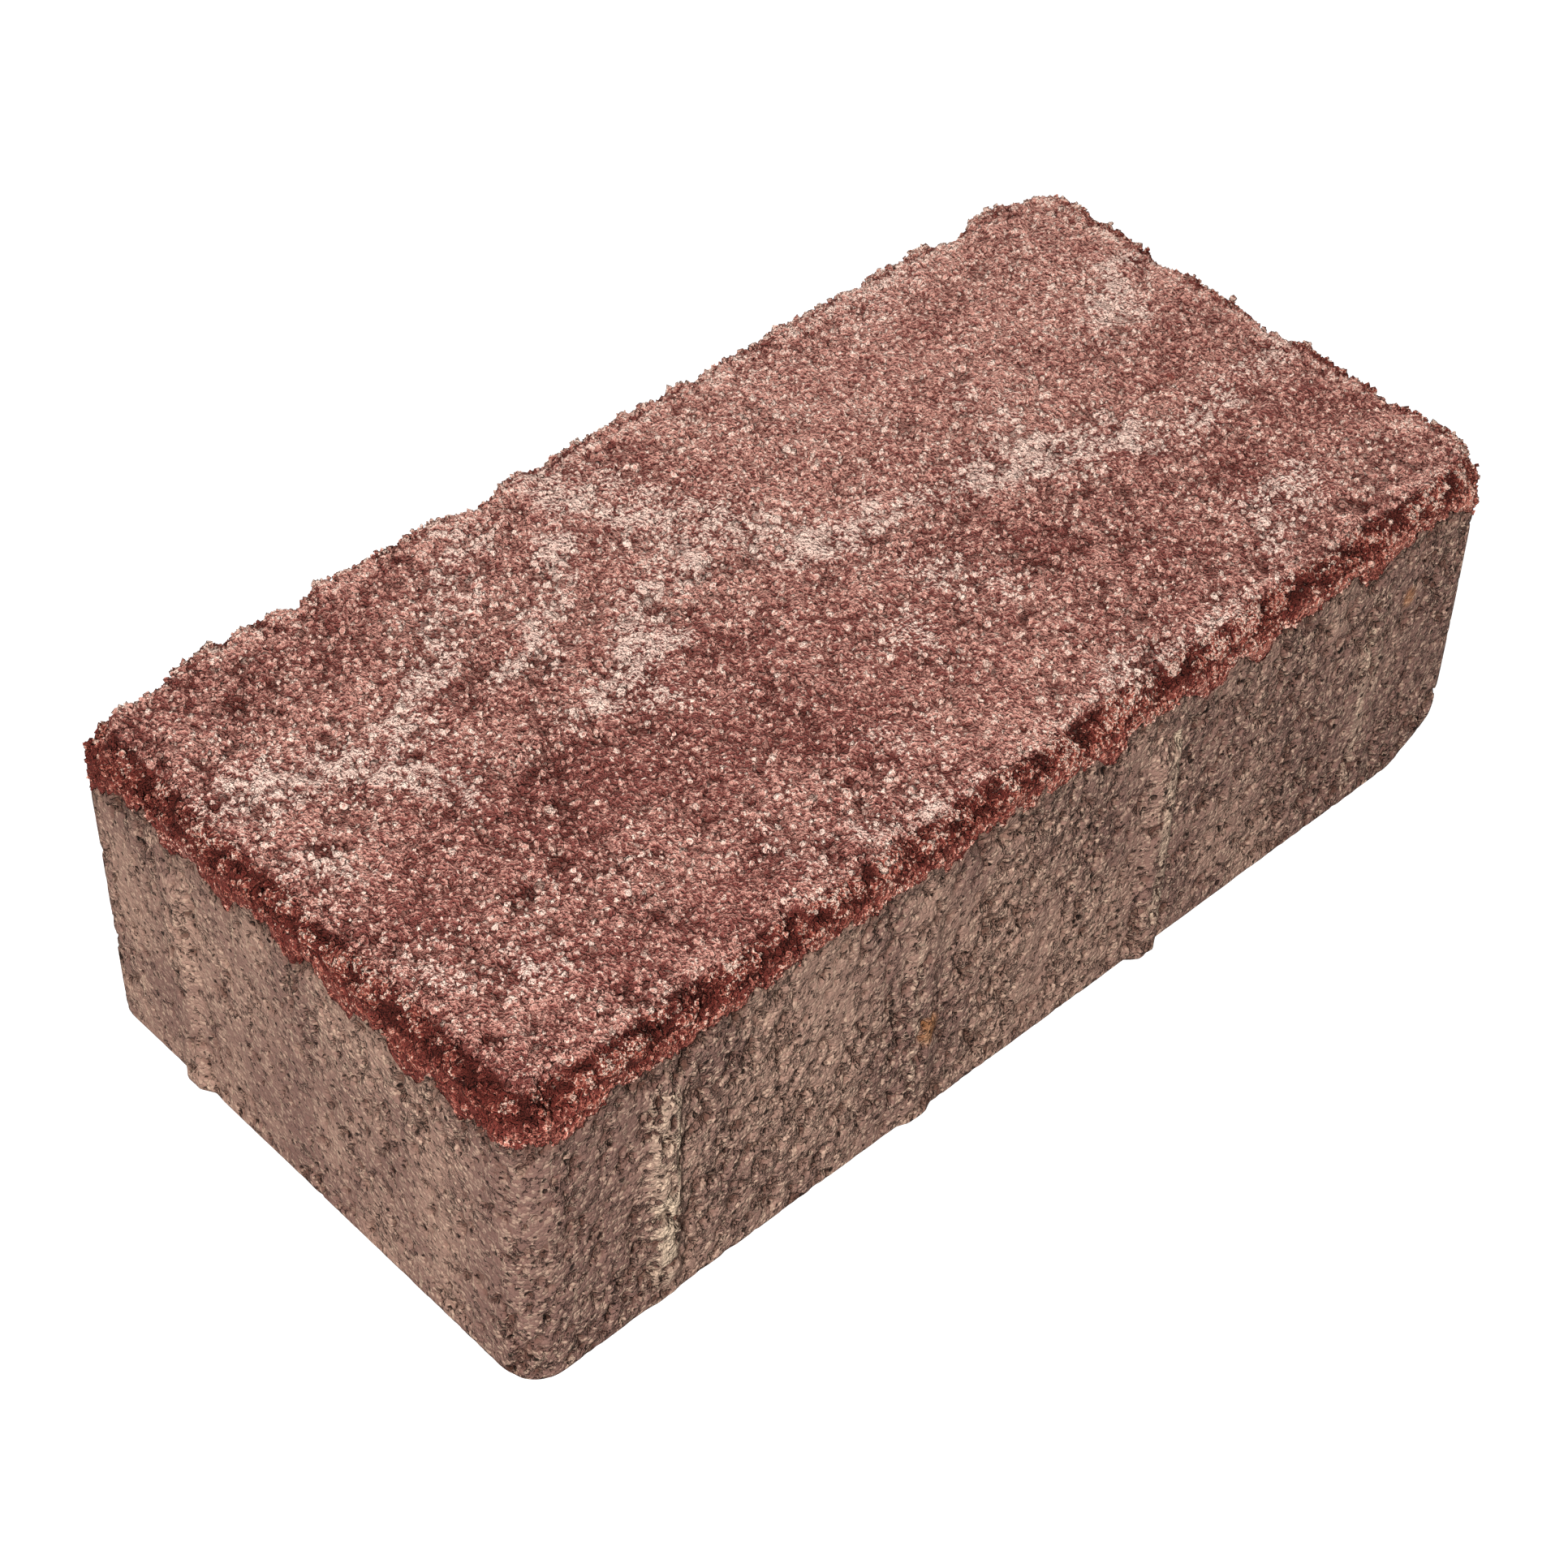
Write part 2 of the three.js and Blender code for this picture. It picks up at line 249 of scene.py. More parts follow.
def wall_relief(at):
    """Depth of the concrete below the mould wall, in mm, never above it. Three octaves of drift,
    cut off flat where the mix met the mould, leave plates with open pits between them; larger
    holes are where a lump fell out, and skin smeared upright closes the pits in patches. The foot
    is calmer. Gives how hollow each point is and its skin as well, 0 to 1."""
    upright = at * DRAGGED_UP
    end_wall = smooth(np.abs(at[:, 0]), HALF_LENGTH - 3, HALF_LENGTH - 1)
    end_wall = end_wall * smooth(HALF_WIDTH - np.abs(at[:, 1]), 2, 9)
    patches = mottle(upright, (1, 9, 11), (0.6, 4, 12)) + 0.6 * end_wall - 0.1
    skin = smooth(patches, -0.5, 1.0)
    under = smooth(at[:, 2], 44, 52)
    spot = pushed(at, 0.7, 1.6, 31)
    ragged = mottle(spot * LENGTHENED_UP, (0.5, 2.3, 51), (1, 1.2, 52), (0.8, 0.8, 53))
    plate = np.minimum(1.1 * ragged + 0.4 * skin - 0.15 * under, 0.15) - 0.15
    hole_gap, hole_tone = grains(spot, HOLE_SIZE, 41)
    hole = (1 - smooth(hole_gap, 0.1, 0.36)) * smooth(hole_tone + 0.35 * under, 0.6, 0.95)
    waves = 0.1 * drift(at, 20, 71) + 0.1 * drift(upright, 7, 72)
    depth = waves - 0.1 + PLATE_DEPTH * plate * (1 - 0.5 * skin) - HOLE_DEPTH * hole - 0.1 * under
    depth = depth * (0.1 + 0.9 * smooth(at[:, 2], 0.4, 3.0))
    return np.minimum(depth, 0), np.clip(0.8 * hole - plate, 0, 1), skin


WALL_ROWS = 90
wall_z = np.linspace(0, 1, WALL_ROWS)[:, None] * joint_height
wall_lap = np.broadcast_to(lap, wall_z.shape).ravel()
wall_outward = np.tile(outward, (WALL_ROWS, 1))
wall_at = np.append(np.tile(plan, (WALL_ROWS, 1)), wall_z.reshape(-1, 1), -1)

# The edges of the nibs wander, most on the first nib of the front.
broken_edge = mottle(wall_at, (0.45, 3, 61), (0.45, 1.5, 62))
broken_edge *= 1 - 0.7 * smooth(lap_gap(wall_lap, 0, SIDE_NIBS[0][0]), 5, 10)
nibs = nib_share(lap + broken_edge.reshape(wall_z.shape), wall_z)

# The foot is rounded by the bed's arris and knocked off at the front right corner.
foot_round = np.sqrt(1 - np.clip(1 - wall_z / BED_ARRIS, 0, 1)**2)
mould_out = NIB_PROUD * nibs - BED_ARRIS * (1 - foot_round)
knocked_corner = (STRAIGHTS[0] + CORNER_ARC) / 2
knock_across = 1 - smooth(lap_gap(lap, 0, knocked_corner), 0, FOOT_KNOCK_HALF_WIDTH)
knock_up = np.clip(1 - wall_z / FOOT_KNOCK_TALL, 0, 1)**2
mould_out = mould_out - FOOT_KNOCK * knock_across * knock_up

wall_depth, wall_hollow, wall_skin = wall_relief(wall_at)
wall_points = wall_at.copy()
wall_points[:, :2] += wall_outward * (mould_out.ravel() + wall_depth)[:, None]
joint_row = wall_points[-columns:]

# Pale lime left where the mould scraped the nib crests, and rusty grains: wall, place, from and
# to height, half width and strength.
LIME_MARKS = [
    (0, -76, 6, 44, 2.0, 0.3), (0, -75, 11, 24, 1.7, 0.8), (0, -73.2, 26, 45, 0.7, 0.6),
    (0, 27.6, 4, 46, 0.6, 1.0), (0, 26, 8, 42, 1.4, 0.35), (0, -26.4, 8, 40, 0.7, 0.25),
    (0, 73.5, 6, 38, 1.0, 0.25), (0, 76.5, 20, 44, 0.5, 0.25), (2, -75, 8, 42, 1.8, 0.5),
    (2, 27.6, 4, 46, 0.5, 0.8), (2, -26, 6, 40, 1.0, 0.3), (2, 74, 8, 40, 1.0, 0.3),
]
RUST_MARKS = [(0, -23.4, 18, 20, 1.6, 1.0), (0, 82, 40, 41, 1.2, 0.7), (2, 50, 30, 31, 1.4, 0.9)]


def marks(spots, lap, z):
    """Strength of upright marks: each fades out from a line between two heights."""
    total = np.zeros(len(z))
    for wall, place, low, high, reach, strength in spots:
        gap = np.hypot(lap_gap(lap, wall, place), np.maximum(np.maximum(low - z, z - high), 0))
        total = np.maximum(total, strength * (1 - smooth(gap, 0.5 * reach, 1.7 * reach)))
    return total


# The wall just under the facing is darkened as painted shade below the facing's edge, and the mix
# is cloudy, with two places on the front wall darkened as painted shade, at the front corner and
# the right end: place, distance up to which it is full, distance at which it ends, and strength.
SHADED_WALL_PLACES = [(-94, 7, 15, 1.4), (90, 15, 40, 0.9)]
below_joint = (joint_height - wall_z).ravel()
wall_under_shade = (1 - smooth(below_joint, 0.5, 4.5)) * (0.7 + 0.3 * drift(wall_at, 5, 81))
wall_cloud_and_shade = drift(wall_at * (1, 1, 0.5), 8, 85) + 0.5 * drift(wall_at, 4, 86)
# Painted shade at the front corner and at the right end of the front wall.
for place, full, ended, strength in SHADED_WALL_PLACES:
    wall_cloud_and_shade -= strength * (1 - smooth(lap_gap(wall_lap, 0, place), full, ended))
wall_fields = {
    "hollow": wall_hollow,
    "skin": wall_skin,
    "under": wall_under_shade,
    "lime": marks(LIME_MARKS, wall_lap, wall_at[:, 2]),
    "rust": marks(RUST_MARKS, wall_lap, wall_at[:, 2]),
    "cloud": smooth(wall_cloud_and_shade, -0.8, 0.7),
}


def lap_faces(rows):
    """Quads of a skin of closed rows, each one lap of columns, seen from outside."""
    row, column = np.meshgrid(np.arange(rows - 1) * columns, around, indexing="ij")
    following = (column + 1) % columns
    quads = np.stack([row + column, row + following, row + columns + following,
                      row + columns + column], -1)
    return quads.reshape(-1, 4)


def fan_faces(centre, first, second):
    """Triangles from one centre to each pair of neighbours in a lap."""
    return np.stack([np.full(columns, centre), first, second], -1)


# The body is closed below by the bed, which is a ring inside the foot and its middle, and above
# by a hidden cone from the joint to one point inside.
joint_middle = (0, 0, joint_height.mean())
bed_ring = wall_points[:columns] * BED_RING
backing_points = np.concatenate([wall_points, bed_ring, [(0, 0, 0), joint_middle]])
bed_first = len(wall_points)
bed_centre = bed_first + columns
top_first = bed_first - columns
backing_faces = [
    lap_faces(WALL_ROWS),
    np.stack([bed_first + around, bed_first + ahead, ahead, around], -1),
    fan_faces(bed_centre, bed_first + ahead, bed_first + around),
    fan_faces(bed_centre + 1, top_first + around, top_first + ahead),
]


def make_piece(name, points, faces, material, fields):
    """Mesh object at the origin from points in millimetres and faces of three or four corners,
    with one number per point for each named field."""
    mesh = bpy.data.meshes.new(name)
    counts = np.concatenate([np.full(len(block), block.shape[1]) for block in faces])
    corners = np.concatenate([block.ravel() for block in faces])
    mesh.vertices.add(len(points))
    mesh.vertices.foreach_set("co", (points * MM).astype(np.float32).ravel())
    mesh.loops.add(len(corners))
    mesh.loops.foreach_set("vertex_index", corners.astype(np.int32))
    mesh.polygons.add(len(counts))
    mesh.polygons.foreach_set("loop_start", (np.cumsum(counts) - counts).astype(np.int32))
    mesh.polygons.foreach_set("loop_total", counts.astype(np.int32))
    mesh.polygons.foreach_set("use_smooth", np.ones(len(counts), bool))
    mesh.update(calc_edges=True)
    mesh.validate()
    for field, values in fields.items():
        layer = mesh.attributes.new(field, "FLOAT", "POINT")
        layer.data.foreach_set("value", values.astype(np.float32))
    mesh.materials.append(material)
    piece = bpy.data.objects.new(name, mesh)
    bpy.context.scene.collection.objects.link(piece)
    return piece


class Value:
    """A shader socket that takes part in sums: + - and * add Math nodes."""

    def __init__(self, nodes, socket):
        self.nodes = nodes
        self.socket = socket

    def math(self, operation, *inputs):
        return self.nodes.add("ShaderNodeMath", {"operation": operation}, inputs)

    def __add__(self, other):
        return self.math("ADD", self, other)

    def __sub__(self, other):
        return self.math("SUBTRACT", self, other)

    def __rsub__(self, other):
        return self.math("SUBTRACT", other, self)

    def __mul__(self, other):
        return self.math("MULTIPLY", self, other)

    def blend(self, other):
        """The larger of two, for masks that join."""
        return self.math("MAXIMUM", self, other)

    def step(self, low, high):
        """Smooth step from 0 at low to 1 at high."""
        settings = {"interpolation_type": "SMOOTHSTEP"}
        return self.nodes.add("ShaderNodeMapRange", settings, [self, low, high, 0.0, 1.0])

    __radd__ = __add__
    __rmul__ = __mul__


class Nodes:
    """A node tree that is written as expressions."""

    def __init__(self, tree):
        self.tree = tree

    def add(self, kind, settings, inputs, output=0):
        """Any node: its settings first, then its sockets by number or name."""
        node = self.tree.nodes.new(kind)
        for name, value in settings.items():
            setattr(node, name, value)
        pairs = inputs.items() if isinstance(inputs, dict) else enumerate(inputs)
        for key, value in pairs:
            self.feed(node.inputs[key], value)
        return Value(self, node.outputs[output])

    def feed(self, socket, value):
        if isinstance(value, Value):
            self.tree.links.new(value.socket, socket)
        else:
            socket.default_value = value

    def mix(self, share, low, high):
        """Colour mix from low to high."""
        return self.add("ShaderNodeMix", {"data_type": "RGBA"},
                        {"Factor": share, 6: low, 7: high}, 2)


DRY_GLOSS = 0.08


class Shader(Nodes):
    """A material that is written as expressions. place is the Object coordinate in mm."""

    def __init__(self, name):
        self.material = bpy.data.materials.new(name)
        self.material.use_nodes = True
        super().__init__(self.material.node_tree)
        self.surface = self.tree.nodes["Principled BSDF"]
        where = self.add("ShaderNodeTexCoord", {}, [], "Object")
        self.place = self.scaled(where, 1 / MM, 1 / MM, 1 / MM)

    def scaled(self, place, x, y, z):
        return self.add("ShaderNodeVectorMath", {"operation": "MULTIPLY"}, [place, (x, y, z)])

    def warped(self, size, reach):
        """The place pushed about by cloudy noise, which makes straight cell walls ragged."""
        push = self.add("ShaderNodeTexNoise", {},
                        {"Vector": self.place, "Scale": 1 / size, "Detail": 0.0}, "Color")
        return self.add("ShaderNodeVectorMath", {"operation": "MULTIPLY_ADD"},
                        [push, (reach, reach, reach), self.place])

    def field(self, name):
        """The number that each point of the mesh holds under this name."""
        return self.add("ShaderNodeAttribute", {"attribute_name": name}, [], "Fac")

    def noise(self, size, detail, roughness, place=None):
        """Cloudy noise of the given size in mm, about 0 to 1."""
        sockets = {"Vector": place or self.place, "Scale": 1 / size, "Detail": detail,
                   "Roughness": roughness}
        return self.add("ShaderNodeTexNoise", {}, sockets, "Fac")

    def cells(self, size, place):
        """Voronoi cells of the given size in mm: the distance to the nearest centre in cell
        sizes, and a random number from 0 to 1 that belongs to it."""
        gap = self.add("ShaderNodeTexVoronoi", {}, {"Vector": place, "Scale": 1 / size}, "Distance")
        colour = Value(self, gap.socket.node.outputs["Color"])
        return gap, self.add("ShaderNodeSeparateColor", {}, [colour], "Red")

    def coats(self, colour, *coats):
        """A colour under coats: each is a share and the colour that it brings, laid on in turn."""
        for share, coat in coats:
            colour = self.mix(share, colour, coat)
        return colour

    def finish(self, colour, roughness, height, depth):
        """Joins the colour, the roughness and a height in mm times depth to the surface, with the
        faint gloss of dry concrete."""
        self.feed(self.surface.inputs["Base Color"], colour)
        self.feed(self.surface.inputs["Roughness"], roughness)
        self.feed(self.surface.inputs["Specular IOR Level"], DRY_GLOSS)
        bump = self.add("ShaderNodeBump", {},
                        {"Strength": 1.0, "Distance": depth * MM, "Height": height}, "Normal")
        self.feed(self.surface.inputs["Normal"], bump)
        return self.material


def srgb(red, green, blue):
    """Colour as seen on a screen, 0 to 255, as the linear colour that shaders take."""
    share = [value / 255 for value in (red, green, blue)]
    return tuple((v / 12.92 if v < 0.04045 else ((v + 0.055) / 1.055)**2.4) for v in share) + (1,)


# Colours of the backing. The open dark, the pit dark, the hollow brown and the brown under the
# facing are painted shade, and the pale of the sand crumbs is partly painted highlight.
PASTE_DARK = srgb(117, 88, 79)
PASTE_LIGHT = srgb(146, 115, 101)
SAND_AND_HIGHLIGHT_PALE = srgb(193, 163, 141)
DRAG_PALE = srgb(196, 172, 146)
UNDER_SHADE_BROWN = srgb(92, 68, 58)
OPEN_SHADE_DARK = srgb(64, 42, 33)
PIT_SHADE_DARK = srgb(42, 26, 20)
HOLLOW_SHADE_BROWN = srgb(80, 46, 34)
LIME_PALE = srgb(222, 198, 170)
RUST_ORANGE = srgb(160, 104, 56)
SAND_SIZE = 0.6
SPECK_SIZE = 1.1
PIT_SIZE = 1.9
OPENING_SIZE = 1.7


def backing_concrete():
    """Finish of the backing: flat plates with pale crumbs of sand, partly painted highlights,
    between open places, round pits and specks where single grains are missing, which are darkened
    as painted shade, as are the hollows, drag marks, painted shade under the facing, lime and rust."""
    grey = Shader("grey_backing_concrete")
    loosely = grey.warped(0.5, 0.35)
    sand_gap, sand_tone = grey.cells(SAND_SIZE, loosely)
    pit_gap, pit_tone = grey.cells(PIT_SIZE, grey.warped(0.7, 0.8))
    speck_gap, speck_tone = grey.cells(SPECK_SIZE, loosely)
    opening = grey.noise(OPENING_SIZE, 3.0, 0.6, grey.scaled(loosely, 1, 1, 0.8))
    drag = grey.noise(0.6, 1.0, 0.55, grey.scaled(grey.place, 1, 1, 0.06)).step(0.64, 0.76)
    hollow = grey.field("hollow")
    skin = grey.field("skin")
    under = grey.field("under")
    lime = grey.field("lime")
    height = opening + sand_tone * 0.06 + skin * 0.06 - hollow * 0.1 - under * 0.03 - 0.005
    plate = height.step(0.38, 0.5)
    pit_rim = (pit_gap - pit_tone * 0.3 + skin * 0.04).step(-0.15, 0.05)
    pit = (1 - pit_rim) * (pit_tone - skin * 0.1 + under * 0.15).step(0.15, 0.35)
    speck = (1 - speck_gap.step(0.1, 0.26)) * speck_tone.step(0.45, 0.6)
    sand = (1 - sand_gap * sand_gap) * (0.3 + sand_tone * 0.7)
    relief = plate * 0.8 + sand * (0.55 - plate * 0.2 - skin * 0.1) - pit * 1.2 - speck * 0.5
    limed = (lime + (plate - 0.6 + sand_tone * 0.5 - pit) * 0.6).step(0.2, 1.1)
    # Painted shade darkens the open places, the pits and specks, the hollows and the wall just
    # under the facing; the pale sand crumbs are partly painted highlights.
    colour = grey.coats(
        grey.mix(grey.field("cloud"), PASTE_DARK, PASTE_LIGHT),
        (sand_tone.step(0.5, 1.0) * (0.6 - skin * 0.2), SAND_AND_HIGHLIGHT_PALE),
        (drag * plate * 0.35, DRAG_PALE),
        (under * 0.5, UNDER_SHADE_BROWN),
        ((1 - height.step(0.33, 0.43)) * 0.65, OPEN_SHADE_DARK),
        (pit.blend(speck * 0.7) * 0.9, PIT_SHADE_DARK),
        (hollow.step(0.1, 0.8) * 0.4, HOLLOW_SHADE_BROWN),
        (limed * lime.step(0.0, 0.3) * (0.3 + lime * 0.35), LIME_PALE),
        (grey.field("rust") * 0.6, RUST_ORANGE),
    )
    return grey.finish(colour, 0.92, relief * (1.7 - skin * 0.5), 1.0)


bed_field = np.zeros(len(backing_points) - len(wall_points))
backing = make_piece(
    "backing_mix", backing_points, backing_faces, backing_concrete(),
    {name: np.append(values, bed_field) for name, values in wall_fields.items()},
)
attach(backing, "root")
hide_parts("paving_stone")

# ---- Facing mix -----------------------------------------------------------------------------
# A thin second fill of coarse red concrete, pressed on the backing while both were wet. Its
# wearing face is open grained, with pale bloom over the grains in streaks, and the tumbled arris
# shows the deeper red inside.

ARRIS_IN = 4.0
ARRIS_BULGE = 1.25
KNOCK_FLATTENS = 1.1
BAND_ROWS = 8
ARRIS_ROWS = 16
HOLLOW_DEPTH = 0.6
HOLLOW_PITCH = 11.0
LUMP_SIZE = 2.6
FACE_PIT_SIZE = 4.2
CRUMBLE_SIZE = 3.7
CRUMBLE_DEPTH = 3.1
FACE_SUNK = 0.78

# Pale streaks on the wearing face: from and to in X and Y, half width and strength.
STREAKS = [
    (-98, 22, -84, 20, 4.0, 0.8), (-88, 23, -72, 15, 3.6, 0.9), (-64, 15, -50, 27, 3.4, 0.9),
    (-50, 28, -33, 40, 3.0, 0.7), (-48, 13, -34, 20, 2.2, 1.0), (-34, 20, -21, 33, 2.0, 0.9),
    (-68, 7, -66, -1, 2.6, 1.0), (-41, 1, -26, 5, 3.8, 1.0), (-37, 2, -35, -5, 2.8, 0.8),
    (-24, 11, -8, 18, 3.0, 0.8), (-11, 42, -8, 27, 6.0, 0.7), (-8, 27, 0, 9, 4.4, 0.8),
    (1, 6, 15, 4, 2.6, 1.0), (15, 4, 34, 1, 2.4, 0.7), (32, 1, 47, 7, 3.2, 0.7),
    (36, -1, 58, -7, 3.4, 1.0), (57, -6, 66, -14, 3.0, 0.8), (66, -12, 94, -9, 3.2, 0.8),
    (74, 10, 91, 23, 2.8, 0.7), (-92, 4, -91, -5, 3.2, 0.6), (14, -12, 20, -21, 3.0, 0.6),
    (0, -17, 3, -24, 2.6, 0.6), (-15, -31, -13, -34, 2.5, 0.7), (-42, -38, -34, -44, 3.0, 0.7),
    (-32, -41, -18, -45, 3.4, 0.9), (54, -41, 74, -32, 3.2, 0.8), (18, -45, 42, -46, 3.0, 0.6),
    (-66, -22, -61, -25, 3.0, 0.5), (-90, -23, -76, -33, 3.4, 0.6), (46, 14, 52, 11, 2.6, 0.5),
]

# Damper, darker places on the face, written in the same way.
DARK_PLACES = [
    (-58, -10, -12, -22, 8.0, 0.9), (-97, 38, -78, 42, 5.0, 0.8), (68, -20, 97, -27, 7.0, 0.7),
    (20, -12, 44, -26, 6.0, 0.5), (-20, 0, -6, -8, 4.0, 0.6), (-62, 40, -48, 42, 4.0, 0.6),
    (-84, -12, -72, -6, 5.0, 0.7), (70, 6, 98, 1, 4.0, 0.5), (-70, -40, -50, -42, 5.0, 0.6),
]


def strokes(at, spots):
    """Strength of soft strokes on the face: each fades out from a line between two points, which
    drift pushes about, and the strongest one counts."""
    total = np.zeros(len(at))
    spot = at[:, :2] + 3.6 * np.stack([drift(at, 6, 211), drift(at, 6, 212)], -1)
    spot += 2.0 * np.stack([drift(at, 2.4, 216), drift(at, 2.4, 217)], -1)
    for x0, y0, x1, y1, reach, strength in spots:
        start = np.array([x0, y0])
        line = np.array([x1, y1]) - start
        share = np.clip((spot - start) @ line / (line @ line), 0, 1)
        gap = np.linalg.norm(spot - start - share[:, None] * line, axis=-1)
        total = np.maximum(total, strength * (1 - smooth(gap, 0, 2.5 * reach)))
    return total


def bloom_at(at):
    """Strength of the pale bloom: its streaks, broken up by drift, in a faint haze that is wider
    on the back half."""
    haze = 0.35 + mottle(at, (0.35, 15, 213), (0.25, 6, 214)) + 0.3 * at[:, 1] / HALF_WIDTH
    broken = 0.95 + mottle(at, (0.6, 3.4, 215), (0.3, 1.5, 218))
    return np.clip(strokes(at, STREAKS) * broken + 0.35 * np.clip(haze, 0, 1), 0, 1)


def chips_at(at):
    """How far each point lies in a chip of the top arris, 0 to 1: an ellipsoid round the mould's
    sharp edge at each knock, with a ragged rim, deeper where more was knocked off. size is its
    reach along the wall, inwards and down."""
    ragged = mottle(at, (0.6, 4.5, 201), (0.4, 1.8, 202))
    total = np.zeros(len(at))
    for wall, place, reach, depth in KNOCKS:
        turn = np.array(WALL_TURNS[wall])
        along = at[:, :2] @ turn - place
        half = HALF_WIDTH if wall % 2 == 0 else HALF_LENGTH
        inward = half - at[:, :2] @ (turn[1], -turn[0])
        down = HEIGHT - at[:, 2]
        size = (0.62 * reach + 0.8, 2.6 + 1.5 * depth, 5.0 + 0.8 * depth)
        gap = np.sqrt((along / size[0])**2 + (inward / size[1])**2 + (down / size[2])**2)
        share = smooth(1.0 - gap + ragged, 0.0, 0.5) * min(1, 0.35 + 0.5 * depth)
        total = np.maximum(total, share)
    return total


def hollows_at(at):
    """Depth of the shallow hollows of the wearing face, in mm: two wave trains cross, each bent by
    a slower one, and the face is flat between the hollows."""
    x, y = (at[:, :2] * math.sqrt(2) * math.pi / HOLLOW_PITCH).T
    along = np.cos(x + 2 * np.sin(0.31 * y))
    across = -np.cos(y + 2 * np.sin(0.23 * x))
    return HOLLOW_DEPTH * np.maximum(0, along * across)


def face_relief(at, wear, chip):
    """Height of the open grain, in mm, about the pressed face: shallow waves, lumps that stand at
    chance heights, and pits where a lump has come out. wear from 0 to 1 adds the coarse crumble
    of the arris, less of it along the back and the right, and chip sinks the chips. Gives the
    pits as well, 0 to 1."""
    spot = pushed(at, 0.9, 1.8, 141)
    lump_gap, lump_tone = grains(spot, LUMP_SIZE, 121)
    lumps = 0.8 * (1 - lump_gap) * (0.3 + lump_tone) + 0.3 * drift(at, 1.3, 131)
    pit_gap, pit_tone = grains(spot, FACE_PIT_SIZE, 151)
    pit = (1 - smooth(pit_gap, 0.1, 0.28)) * smooth(pit_tone, 0.75, 0.98)
    crumb_gap, crumb_tone = grains(spot, CRUMBLE_SIZE, 161)
    crumble = CRUMBLE_DEPTH * (0.5 - crumb_gap) * (0.3 + crumb_tone) + 0.8 * drift(at, 1.6, 165)
    calm = 1 - 0.3 * np.maximum(smooth(at[:, 1], 38, 48), smooth(at[:, 0], 88, 98))
    hollows = hollows_at(at) * smooth(drift(at, 9, 181), -0.5, 0.6) * (1 - smooth(wear, 0.1, 0.4))
    waves = mottle(at, (0.15, 24, 171), (0.15, 6, 182)) - 0.5 * hollows
    depth = waves - FACE_SUNK + lumps * (1 - 0.5 * chip) - 0.5 * pit + wear * crumble * calm
    return depth - 0.5 * chip, pit


# The rim: a band up the walls from the joint, then the arris, a quarter turn that bulges less
# where it was knocked. Its points are wall points moved out and up, with the normal that turns.
band_share = (np.arange(BAND_ROWS) / BAND_ROWS)[:, None]
band_z = joint_height + band_share * facing_edge
band_out = np.zeros_like(band_z)
arris_share = np.linspace(0, 1, ARRIS_ROWS)[:, None]
arris_turn = arris_share * math.pi / 2
reach_in = ARRIS_IN + ARRIS_RIPPLE * ripple(lap, 0.4) + KNOCK_REACH * knock
full_belly = reach_in * reach_down * (math.sqrt(2) - 1) / np.hypot(reach_in, reach_down)
bulge = ARRIS_BULGE - KNOCK_FLATTENS * knock / full_belly
arris_out = -reach_in * (arris_share + bulge * (1 - np.cos(arris_turn) - arris_share))
arris_z = HEIGHT - reach_down * (1 - arris_share - bulge * (np.sin(arris_turn) - arris_share))
rim_rows = BAND_ROWS + ARRIS_ROWS
rim_out = np.concatenate([band_out, arris_out]).reshape(-1, 1)
rim_z = np.concatenate([band_z, arris_z]).reshape(-1, 1)
rim_turn = np.repeat(np.concatenate([np.zeros(BAND_ROWS), arris_turn[:, 0]]), columns)[:, None]
rim_outward = np.tile(outward, (rim_rows, 1))
rim_at = np.append(np.tile(plan, (rim_rows, 1)) + rim_out * rim_outward, rim_z, -1)
rim_normal = np.append(np.cos(rim_turn) * rim_outward, np.sin(rim_turn), -1)

# The wearing face is spanned between the four sides of the arris's inner edge: each point is the
# mean of the two ways across, less the part of the corners that both count.
corners_at = np.cumsum([LONG_COLUMNS, SHORT_COLUMNS, LONG_COLUMNS])


def four_sides(edge):
    """A lap of the edge as the front, right, back and left side, which share their ends. The back
    runs from left to right as the front does, and the left from front to back as the right does."""
    front, right, back, left = np.split(edge, corners_at)
    right = np.concatenate([right, back[:1]])
    back = np.concatenate([back, left[:1]])[::-1]
    left = np.concatenate([left, front[:1]])[::-1]
    front = np.concatenate([front, right[:1]])
    return front, right, back, left


front, right, back, left = four_sides(rim_at[-columns:])
s = np.linspace(0, 1, LONG_COLUMNS + 1)[:, None, None]
t = np.linspace(0, 1, SHORT_COLUMNS + 1)[None, :, None]
face_at = (
    (1 - t) * front[:, None] + t * back[:, None] + (1 - s) * left[None] + s * right[None]
    - (1 - s) * (1 - t) * front[0] - s * (1 - t) * front[-1]
    - (1 - s) * t * back[0] - s * t * back[-1]
)

# One list of points: the rim's rows, then the inside of the face's grid, whose edge is the rim's
# last row, and one hidden point in the joint.
face_inner = face_at[1:-1, 1:-1].reshape(-1, 3)
face_index = np.zeros(face_at.shape[:2], int)
face_index[1:-1, 1:-1] = rim_rows * columns + np.arange(len(face_inner)).reshape(
    LONG_COLUMNS - 1, SHORT_COLUMNS - 1)
(face_index[:, 0], face_index[-1, :], face_index[:, -1], face_index[0, :]) = four_sides(
    (rim_rows - 1) * columns + around)


def all_over(band, arris, face):
    """One number per point of the facing, from those of the band, the arris and the face. Each
    may be one number for all of its points or, on the band and the arris, one for each row."""
    parts = [(band, (BAND_ROWS, columns)), (arris, (ARRIS_ROWS, columns)), (face, len(face_inner))]
    return np.concatenate([np.broadcast_to(value, shape).ravel() for value, shape in parts])


